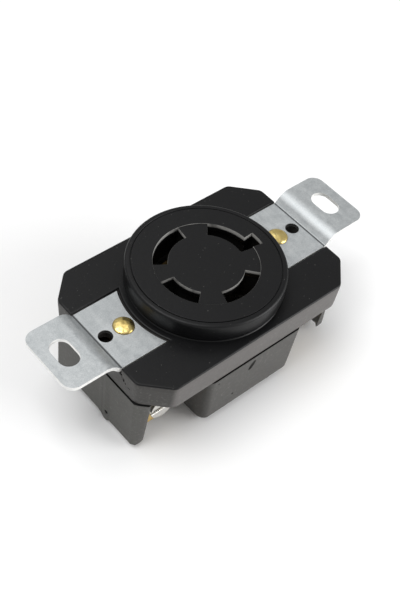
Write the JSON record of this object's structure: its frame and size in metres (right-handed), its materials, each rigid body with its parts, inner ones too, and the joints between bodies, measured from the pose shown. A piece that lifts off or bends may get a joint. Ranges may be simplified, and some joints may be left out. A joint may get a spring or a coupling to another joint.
{
  "type": "flush locking receptacle",
  "caption": "Flush-mounted locking electrical receptacle with a round slotted face, chamfered black cover, stepped steel mounting ears and side screw terminals.",
  "frame": {"origin": "under the middle of the body, on the plane that its back rests on", "axes": "+X along the mounting ears, towards the ground terminal's end; +Z out of the face"},
  "size_m": [0.0942, 0.043, 0.0325],
  "materials": {
    "cover_plastic": "satin moulded black",
    "body_plastic": "matt moulded black",
    "zinc_steel": "zinc plated, mottled",
    "polished_brass": "bright, hammered",
    "brass": "stamped",
    "nickel_plate": "nickel plated",
    "green_plate": "green dyed plating",
    "spring_bronze": "spring temper"
  },
  "bodies": {
    "housing": {"rear_body": "body_plastic", "front_cover": "cover_plastic", "ground_plate": "brass", "mounting_ear_left": "zinc_steel", "mounting_ear_right": "zinc_steel", "ear_rivet_left": "polished_brass", "ear_rivet_right": "polished_brass", "contact_jaw_line_x": "brass", "contact_jaw_line_y": "brass", "contact_jaw_neutral": "brass", "contact_jaw_ground": "brass"},
    "clamp_line_x": {"clamp_plate_line_x": "brass"},
    "clamp_line_y": {"clamp_plate_line_y": "brass"},
    "clamp_neutral": {"clamp_plate_neutral": "brass"},
    "clamp_ground": {"clamp_plate_ground": "brass"},
    "screw_line_x": {"terminal_screw_line_x": "brass"},
    "screw_line_y": {"terminal_screw_line_y": "brass"},
    "screw_neutral": {"terminal_screw_neutral": "nickel_plate"},
    "screw_ground": {"terminal_screw_ground": "green_plate"},
    "leaf_line_x": {"contact_leaf_line_x": "spring_bronze"},
    "leaf_line_y": {"contact_leaf_line_y": "spring_bronze"},
    "leaf_neutral": {"contact_leaf_neutral": "spring_bronze"},
    "leaf_ground": {"contact_leaf_ground": "spring_bronze"}
  },
  "joints": [
    {"name": "clamp_slide_line_x", "type": "slide", "parent": "housing", "child": "clamp_line_x", "axis": [0, -1, 0], "range_m": [-0.0016, 0.00245]},
    {"name": "clamp_slide_line_y", "type": "slide", "parent": "housing", "child": "clamp_line_y", "axis": [0, 1, 0], "range_m": [-0.0016, 0.00245]},
    {"name": "clamp_slide_neutral", "type": "slide", "parent": "housing", "child": "clamp_neutral", "axis": [0, -1, 0], "range_m": [-0.0016, 0.00245]},
    {"name": "clamp_slide_ground", "type": "slide", "parent": "housing", "child": "clamp_ground", "axis": [0, 1, 0], "range_m": [-0.0016, 0.00245]},
    {"name": "screw_turn_line_x", "type": "hinge", "parent": "clamp_line_x", "child": "screw_line_x", "pos_m": [0.0242, -0.0144, 0.0106], "axis": [0, -1, 0], "range_deg": [-823, 1260]},
    {"name": "screw_turn_line_y", "type": "hinge", "parent": "clamp_line_y", "child": "screw_line_y", "pos_m": [-0.0242, 0.0144, 0.0106], "axis": [0, 1, 0], "range_deg": [-823, 1260]},
    {"name": "screw_turn_neutral", "type": "hinge", "parent": "clamp_neutral", "child": "screw_neutral", "pos_m": [-0.0242, -0.0144, 0.0106], "axis": [0, -1, 0], "range_deg": [-823, 1260]},
    {"name": "screw_turn_ground", "type": "hinge", "parent": "clamp_ground", "child": "screw_ground", "pos_m": [0.0242, 0.0144, 0.0106], "axis": [0, 1, 0], "range_deg": [-823, 1260]},
    {"name": "leaf_flex_line_x", "type": "hinge", "parent": "housing", "child": "leaf_line_x", "pos_m": [0.00199, -0.01016, 0.0072], "axis": [-0.9813, -0.1925, 0], "range_deg": [0, 2.5], "stiffness_Nm_per_rad": 2},
    {"name": "leaf_flex_line_y", "type": "hinge", "parent": "housing", "child": "leaf_line_y", "pos_m": [-0.00432, 0.00941, 0.0072], "axis": [0.9089, 0.4171, 0], "range_deg": [0, 2.5], "stiffness_Nm_per_rad": 2},
    {"name": "leaf_flex_neutral", "type": "hinge", "parent": "housing", "child": "leaf_neutral", "pos_m": [-0.00993, -0.00293, 0.0072], "axis": [-0.2832, 0.9591, 0], "range_deg": [0, 2.5], "stiffness_Nm_per_rad": 2},
    {"name": "leaf_flex_ground", "type": "hinge", "parent": "housing", "child": "leaf_ground", "pos_m": [0.00985, 0.00319, 0.0072], "axis": [0.3082, -0.9513, 0], "range_deg": [0, 2.5], "stiffness_Nm_per_rad": 2}
  ],
  "couplings": [
    {"joint": "screw_turn_line_x", "follows": "clamp_slide_line_x", "rad_per_m": 8976},
    {"joint": "screw_turn_line_y", "follows": "clamp_slide_line_y", "rad_per_m": 8976},
    {"joint": "screw_turn_neutral", "follows": "clamp_slide_neutral", "rad_per_m": 8976},
    {"joint": "screw_turn_ground", "follows": "clamp_slide_ground", "rad_per_m": 8976}
  ]
}
